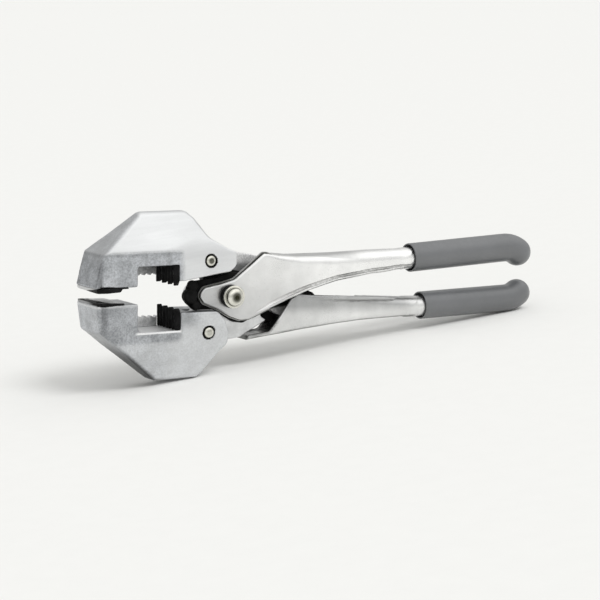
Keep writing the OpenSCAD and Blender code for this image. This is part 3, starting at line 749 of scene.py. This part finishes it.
# painted shade: the lower part of the upper arm, deep inside the handles, is painted near-black except at a painted
# glint near its lower edge; painted light lightens the shaded triangle near the top
plate("v_upper_arm", "upper_jaw_arm",
      [(-40, 17, 0), (-40, 29.8, 0), (-14, 29.8, 4), (6, 29, 12), (22, 26.5, 10), (30, 24, 3), (31, 18, 3), (27, 6, 8), (40, -5, 8),
       (52, -7.5, 8), (80, -10, 1), (80, -24, 1), (60, -25, 4), (49, -23.8, 4), (42.4, -20.6, 5), (37.0, -15.6, 5), (22, -16, 8), (12, -19, 8), (-2, -20.5, 8),
       (-13, -16, 8), (-18.5, -7, 6), (-18.5, 3, 6), (-21, 14, 5)], 0.6, 8.5, 0.8,
      [(PIV, 8.05), (RIV_U, 4.1), ((60, -16), 3.1), ((73, -17.5), 3.1)],
      painted_shade_at=lambda p: smooth(poly(p[:, 0], p[:, 2], [(-60, -60), (-60, 22), (-6, 19.5), (1, 21.5), (5, 26), (7, 26.6), (8.5, 24.5), (7.5, 20), (4, 15.5), (30, 10),
                                                        (100, 0), (100, -60)]), 0.8, -0.4)
      * (1 - 0.85 * smooth(poly(p[:, 0], p[:, 2], [(37.5, -16.9), (46, -16.0), (53, -15.6), (49.5, -21.6), (46.2, -24.0), (42.0, -21.6)]), 0.5, -1.6)),
      lit_at=lambda f: np.maximum(smooth(f.X, -4, 2) * smooth(f.Z, 18, 22) * smooth(f.X, 34, 30) * 0.9,
                                  smooth(f.poly([(36, -17), (53, -15), (53, -25), (36, -25)]), 0.5, -1.5) * (0.35 + 0.65 * smooth(f.Z + 0.35 * f.X, 1.0, -7.0))))


# ------------------------------------------------------------------ pieces refined from their CAD solids
def refine(node, width=0.25, seg=2, angle=28.0, name=None):
    bm = bmesh.new()
    bm.from_mesh(N[node].data)
    bmesh.ops.transform(bm, matrix=N[node].matrix_world, verts=bm.verts)
    bmesh.ops.remove_doubles(bm, verts=bm.verts, dist=1e-6)
    bmesh.ops.dissolve_limit(bm, angle_limit=math.radians(0.6), verts=bm.verts, edges=bm.edges)
    es = [e for e in bm.edges if len(e.link_faces) == 2 and e.calc_face_angle(0) > math.radians(angle)]
    if width > 0 and es:
        bmesh.ops.bevel(bm, geom=es, offset=width / 1000.0, segments=seg, profile=0.6, affect="EDGES", clamp_overlap=True)
    bmesh.ops.triangulate(bm, faces=[f for f in bm.faces if len(f.verts) > 4])
    for f in bm.faces:
        f.smooth = True
    m = bpy.data.meshes.new(name or "v_" + node)
    bm.to_mesh(m)
    bm.free()
    m.set_sharp_from_angle(angle=math.radians(24))
    return show(name or "v_" + node, m, node)


def lathe(name, profile, p, n=96, tone=None):
    """closed solid of revolution about Y through p; profile is [radius, y] from the front axis point to the rear one"""
    bm = bmesh.new()
    rows = []
    for r, y in profile:
        if r < 1e-6:
            rows.append([bm.verts.new(w(p[0], y, p[1]))])
        else:
            rows.append([bm.verts.new(w(p[0] + r * math.cos(2 * math.pi * k / n), y, p[1] + r * math.sin(2 * math.pi * k / n)))
                         for k in range(n)])
    for a, b in zip(rows, rows[1:]):
        for k in range(n):
            k2 = (k + 1) % n
            if len(a) == 1:
                bm.faces.new((a[0], b[k], b[k2]))
            elif len(b) == 1:
                bm.faces.new((a[k], b[0], a[k2]))
            else:
                bm.faces.new((a[k], b[k], b[k2], a[k2]))
    bmesh.ops.recalc_face_normals(bm, faces=bm.faces)
    for f in bm.faces:
        f.smooth = True
    m = bpy.data.meshes.new(name)
    bm.to_mesh(m)
    bm.free()
    m.set_sharp_from_angle(angle=math.radians(35))
    if tone:
        vals = []
        for v in m.vertices:
            q = STAND_BACK @ v.co * 1000.0
            vals.append(min(1.0, max(0.0, tone(math.hypot(q.x - p[0], q.z - p[1]), q.y))))
        m.attributes.new("finish_and_painted_light", "FLOAT", "POINT").data.foreach_set("value", vals)
    return m


def arc(r0, y0, r1, y1, k=5, bulge=0.0):
    """quarter round from (r0, y0) to (r1, y1)"""
    out = []
    for i in range(1, k + 1):
        t = math.pi / 2 * i / k
        out.append((r0 + (r1 - r0) * math.sin(t), y0 + (y1 - y0) * (1 - math.cos(t))))
    return out


def dome(r, h, y, k=10):
    """from the axis to the rim of a cap of height h whose rim is at y, facing the front"""
    R = (r * r + h * h) / (2 * h)
    a = math.asin(r / R)
    return [(R * math.sin(a * i / k), y - h + R * (1 - math.cos(a * i / k))) for i in range(k + 1)]


def ease(v, a, b):
    t = max(0.0, min(1.0, (v - a) / (b - a)))
    return t * t * (3 - 2 * t)


def jaw_rivet(name, node, p, dark):
    cap = dome(3.75, 1.15, -18.35, 16)
    head = cap + [(3.95, -18.25), (4.1, -18.0), (4.2, -17.6), (4.2, -17.2), (4.0, -17.0)]
    prof = head + [(r, -y) for r, y in reversed(head)]
    # painted reflection: the dome darker at its centre, by the given amount; painted shade: a dark ring round the
    # dome's rim
    show(name, lathe(name, prof, p, tone=lambda r, y: max(dark * ease(r, 2.9, 1.6) + 0.10, 0.9 * ease(r, 3.55, 3.85))), node)


jaw_rivet("v_upper_jaw_rivet", "upper_jaw_rivet", RIV_U, 0.78)
jaw_rivet("v_lower_jaw_rivet", "lower_jaw_rivet", RIV_L, 0.25)

bolt = ([(0, -25.75), (0.6, -25.8), (1.1, -26.05), (1.5, -26.35), (1.9, -26.5), (2.6, -26.45), (3.4, -26.3), (4.2, -26.05), (5.0, -25.65), (5.7, -25.15), (6.3, -24.5),
         (6.7, -23.85), (6.95, -23.2), (7.1, -22.75), (7.35, -22.5), (7.8, -22.55), (8.2, -22.65), (8.55, -22.5), (8.78, -22.15), (8.8, -21.6), (8.75, -21.0), (8.6, -20.6), (8.3, -20.5),
         (6.0, -20.5), (6.0, 25.4), (5.6, 25.9), (4.4, 26.4), (2.6, 26.7), (0, 26.8)])


# painted reflection: a dark spot at the dome's centre; painted shade: a dark ring at the dome's foot
def bolt_painted_shading(r, y):
    if y > -20.6:
        return 0.0
    painted_reflection = max(1.0 * ease(r, 2.6, 1.5), 0.92 * ease(r, 5.2, 2.4))
    wall = 0.92 * ease(r, 6.4, 6.95) * ease(y, -22.45, -22.8) * ease(7.9, r, r + 0.5)
    return max(painted_reflection * ease(y, -25.2, -25.6), wall if r < 7.7 else 0.0)


show("v_pivot_bolt", lathe("v_pivot_bolt", bolt, PIV, tone=bolt_painted_shading), "pivot_bolt")

for node in ("pivot_spacer", "upper_grip_strip", "lower_grip_strip", "pivot_nut", "rear_washer"):
    piece = refine(node, 0.3)
    # painted light: the lower strip, facing up where light falls, is given the lighter steel tone
    if node == "lower_grip_strip":
        piece.data.attributes.new("finish_and_painted_light", "FLOAT", "POINT").data.foreach_set("value", [1.0] * len(piece.data.vertices))


def buffer():
    """two rubber blocks in the lower handle, the rear one short of the handle's open end"""
    f = Field(24.5, 76.5, -9.0, 9.0, -33, -2, 0.5)
    X, Y, Z = f.X, f.Y, f.Z
    front = meet(f.poly(fillet([(37.6, -31.0, 1), (59, -28.6, 0), (59, -26.4, 0), (49, -24.4, 1), (45.5, -24.2, 1), (41.5, -22.2, 1)])), np.maximum(-8.3 - Y, Y - 0.6), 0.6)
    rear = meet(f.poly(fillet([(26.2, -17.2, 1), (36.2, -16.7, 0.5), (41.8, -21.6, 1), (48.5, -24.9, 0), (59, -26.4, 0), (59, -28.6, 0), (47, -28.6, 1), (40, -27.4, 1), (27.4, -26.4, 1.5)])), np.maximum(0.8 - Y, Y - 8.3), 0.6)
    stop = meet(f.poly(fillet([(60, -28, 1), (60, -6, 1), (62, -3.7, 1.2), (68, -3.3, 1.5), (72, -5, 1.5), (75, -8.5, 1), (75, -26.5, 1)])), np.maximum(-8.2 - Y, Y - 0.3), 0.6)
    d = np.minimum(np.minimum(front, rear), stop)
    d = d + 0.12 * f.bumps(5.0)
    show("v_closing_buffer", f.mesh("v_closing_buffer", d, lambda p: np.zeros(len(p))), "closing_buffer")


buffer()


def core():
    """black moulding in the throat: a plate with two lobes at its free end"""
    f = Field(-46, 42, -17.5, -7.5, -27, 22, 0.5)
    X, Y, Z = f.X, f.Y, f.Z
    flat = f.poly(fillet([(-41.5, -6.5, 3), (-40, 5, 3), (-36, 9.2, 3), (-30, 9.8, 2), (-14, 11.4, 2), (-6, 13.8, 2), (-2, 14.9, 1), (4, 13.9, 1), (9, 14.4, 1), (14, 16, 2),
                          (30, 20, 1), (40, 18, 1), (40, 4, 4), (22, -16, 4), (17, -21.5, 4), (8, -25, 4), (-1, -23.5, 4), (-12, -16.5, 4), (-18, -12.8, 3),
                          (-34, -12.8, 3)]))
    d = meet(flat, np.maximum(-10.9 - Y, Y + 8.5), 0.6)
    for cx, cz, r, y0 in ((-38.2, -1.6, 5.6, -16.0), (-35.4, 6.0, 4.2, -13.8), (-33.2, -9.0, 3.6, -15.0)):
        ball = meet(np.sqrt((X - cx) ** 2 + (Z - cz) ** 2) - r, np.maximum(y0 - Y, Y + 8.6), 1.8)
        d = join(d, ball, 0.8)
    d = cut(d, f.ycyl(PIV, 6.15, -40, 40))
    show("v_core_plate", f.mesh("v_core_plate", d, lambda p: np.zeros(len(p))), "core_plate")


def toothed(name, node, x1, z0, z1, hang, side):
    """ridged plate: x1 is its back, hang is how far each second ridge stands past the open end"""
    f = Field(x1 - 5.0, x1 + 0.5, -18.2, 18.8, z0 - 4.0, z1 + 4.0, 0.4)
    X, Y, Z = f.X, f.Y, f.Z
    t = (Y + 14.7) / 5.0
    ridge = np.clip(0.5 + 0.5 * np.cos(2 * np.pi * t), 0, 1) ** 0.8
    long = np.where(np.round(t).astype(int) % 2 == 0, 1.0, 0.45)
    front = (x1 - 1.1 - 2.7 * ridge) - X
    open_end = hang * ridge * long
    if side > 0:
        zz = np.maximum((z0 - open_end) - Z, Z - z1)
    else:
        zz = np.maximum(z0 - Z, Z - (z1 + open_end))
    d = np.maximum(np.maximum(front * 0.7, X - x1), np.maximum(zz * 0.8, np.maximum(-17.2 - Y, Y - 17.8)))
    for y in (-10, 10):
        d = np.maximum(d, -(np.sqrt((Z - (16.5 if side > 0 else -18)) ** 2 + (Y - y) ** 2) - 1.8 + (X < x1 - 1.6) * 5))
    show(name, f.mesh(name, d, lambda p: np.zeros(len(p))), node)


def lower_blade():
    """hardened edge in the lower nose: blued, with a bare ground top behind its curved front"""
    f = Field(-117, -92, -18.2, 19, -6, 0.8, 0.4)
    X, Y, Z = f.X, f.Y, f.Z
    side = f.poly([(-116.6, -4.45), (-116.2, -2.75), (-108.4, -2.75), (-107, -3.2), (-95, -3.5), (-94.4, -4.45)])
    d = meet(side, np.maximum(-18.3 - Y, Y - 18.6), 0.3)
    for y in (-11, 12):
        r = np.sqrt((X + 111) ** 2 + (Y - y) ** 2)
        d = cut(d, r - 1.6)
        d = cut(d, np.maximum(r - 2.9, -3.6 - Z))

    def bare(p):
        x, y, z = p[:, 0], p[:, 1], p[:, 2]
        inside = poly(x, y, [(-120, -20), (-90, -20), (-95, -17.0), (-104, -13.4), (-107.2, -6), (-109.2, 0), (-110.8, 6), (-112.3, 13), (-113.3, 20), (-120, 20)])
        wall = smooth(x, -115.6, -116.1) * smooth(z, -2.9, -3.2) * 0.5 * smooth(y, -12, 4)
        return np.maximum(smooth(inside, -0.3, 0.5) * smooth(z, -4.3, -3.9), wall)
    show("v_lower_blade", f.mesh("v_lower_blade", d, bare), "lower_blade")


core()
toothed("v_upper_toothed_insert", "upper_toothed_insert", -49.1, 9.8, 22.85, 2.6, 1)
toothed("v_lower_toothed_insert", "lower_toothed_insert", -48.3, -26.35, -11.9, 1.9, -1)


def upper_blade():
    """hardened edge under the upper nose: blued, its end ground flush with the nose"""
    f = Field(-118, -91, -18.6, 19.4, 2.8, 9.0, 0.4)
    X, Y, Z = f.X, f.Y, f.Z
    side = f.poly(fillet([(-116.9, 7.95, 0), (-116.3, 4.5, 0.8), (-108, 4.3, 0), (-97.5, 4.8, 1.5), (-96.0, 7.0, 0), (-85.5, 7.2, 0), (-85, 7.95, 0)]))
    d = meet(side, np.maximum(-17.9 - Y, Y - 18.4), 0.3)
    d = d + smooth(Z, 6.0, 4.2) * smooth(Y, -14, 18) * 0.9
    for y in (-11, 12):
        r = np.sqrt((X + 111) ** 2 + (Y - y) ** 2)
        d = cut(d, r - 1.6)
        d = cut(d, np.maximum(r - 2.9, Z - 6.2))

    def bare(p):
        x, y, z = p[:, 0], p[:, 1], p[:, 2]
        line = 8.2 - (y + 18.0) * 0.15
        return 0.72 * smooth(x, -115.2, -115.9) * smooth(z, line - 0.35, line + 0.35)
    show("v_upper_blade", f.mesh("v_upper_blade", d, bare), "upper_blade")


def low_screws():
    f = Field(-114.6, -107.4, -14.6, 15.6, -16.2, -2.6, 0.3)
    X, Y, Z = f.X, f.Y, f.Z
    d = np.full((len(f.g[0]), len(f.g[1]), len(f.g[2])), 9.0)
    for y in (-11, 12):
        r = np.sqrt((X + 111) ** 2 + (Y - y) ** 2)
        head = meet(r - 2.75, np.maximum(-4.15 - Z, Z + 3.1), 0.25)
        stem = np.maximum(r - 1.45, np.maximum(-15.4 - Z, Z + 3.6))
        hexa = np.maximum(np.abs(Y - y), np.abs((Y - y) * 0.5 + (X + 111) * 0.866))
        hexa = np.maximum(np.maximum(hexa, np.abs((Y - y) * 0.5 - (X + 111) * 0.866)) - 1.1, -3.75 - Z)
        d = np.minimum(d, cut(np.minimum(head, stem), hexa))
    show("v_lower_blade_screws", f.mesh("v_lower_blade_screws", d, lambda p: np.zeros(len(p))), "lower_blade_screws")


lower_blade()
upper_blade()
low_screws()
for node in ("thrust_washer", "disc_spring", "pivot_bush", "rivet_sleeves", "upper_handle_rivets", "lower_handle_rivets",
             "upper_blade_screws", "upper_insert_screws", "lower_insert_screws", "core_plate_screws"):
    refine(node, 0.12, 1)


# ------------------------------------------------------------------ grips
def grip(name, node, x0, z0, slope, hook, r, cx, cz, flip, bore_x, bore_z, mouth):
    """vinyl sleeve swept along its axis: rounded mouth, straight run, bend, round end, and the bore inside"""
    rows = []
    d0 = math.radians(slope)

    def ring(x, z, d, rad):
        rows.append((x, z, d, rad))
    ax = lambda t: (x0 + t * math.cos(d0), z0 + t * math.sin(d0))
    # inside of the mouth, from the shoulder where the sleeve is tight on the tube outwards
    for t, rad in ((mouth + 10, 7.38), (mouth + 1.0, 7.4), (mouth, 8.0), (mouth - 1.2, r - 1.6), (1.4, r - 1.3), (0.5, r - 1.1), (0.08, r - 0.75),
                   (0.0, r - 0.45), (0.2, r - 0.15), (0.7, r)):
        ring(*ax(t), d0, rad)
    length = math.hypot(cx + 22 * math.cos(d0 + math.pi / 2) - x0, cz + 22 * math.sin(d0 + math.pi / 2) - z0)
    for k in range(1, 25):
        t = length * k / 25
        ring(*ax(t), d0, r)
    for k in range(17):
        a = math.radians(90 + slope - hook * k / 16)
        ring(cx + 22 * math.cos(a), cz + 22 * math.sin(a), a - math.pi / 2, r)
    a = math.radians(90 + slope - hook)
    d = math.radians(slope - hook)
    for k in range(1, 11):
        fi = math.radians(9 * k if k < 10 else 88.5)
        ring(cx + 22 * math.cos(a) + r * math.sin(fi) * math.cos(d), cz + 22 * math.sin(a) + r * math.sin(fi) * math.sin(d), d, r * math.cos(fi))
    n = 64
    sgn = -1 if flip else 1
    bm = bmesh.new()
    vs = []
    for x, z, d, rad in rows:
        vs.append([bm.verts.new(w(x - rad * math.cos(2 * math.pi * k / n) * math.sin(d), rad * math.sin(2 * math.pi * k / n),
                                  sgn * (z + rad * math.cos(2 * math.pi * k / n) * math.cos(d)))) for k in range(n)])
    for a, b in zip(vs, vs[1:]):
        for k in range(n):
            bm.faces.new((a[k], b[k], b[(k + 1) % n], a[(k + 1) % n]))
    bm.faces.new(vs[-1])
    bm.faces.new(vs[0])
    bmesh.ops.recalc_face_normals(bm, faces=bm.faces)
    for f in bm.faces:
        f.smooth = True
    m = bpy.data.meshes.new(name)
    bm.to_mesh(m)
    bm.free()
    m.set_sharp_from_angle(angle=math.radians(50))
    return show(name, m, node)


grip("v_upper_grip", "upper_grip", 166, 17.48, 2.7, 38, 11.6, 261, -0.1, False, 150, 16.73, 15.5)
grip("v_lower_grip", "lower_grip", 177, 21.89, -1, 34, 11.2, 261.6, -1.6, True, 155, 22.27, 15.5)

for n, o in N.items():
    o.data.materials.clear()
    o.data.materials.append(MATS[SLOT_OF[n]])
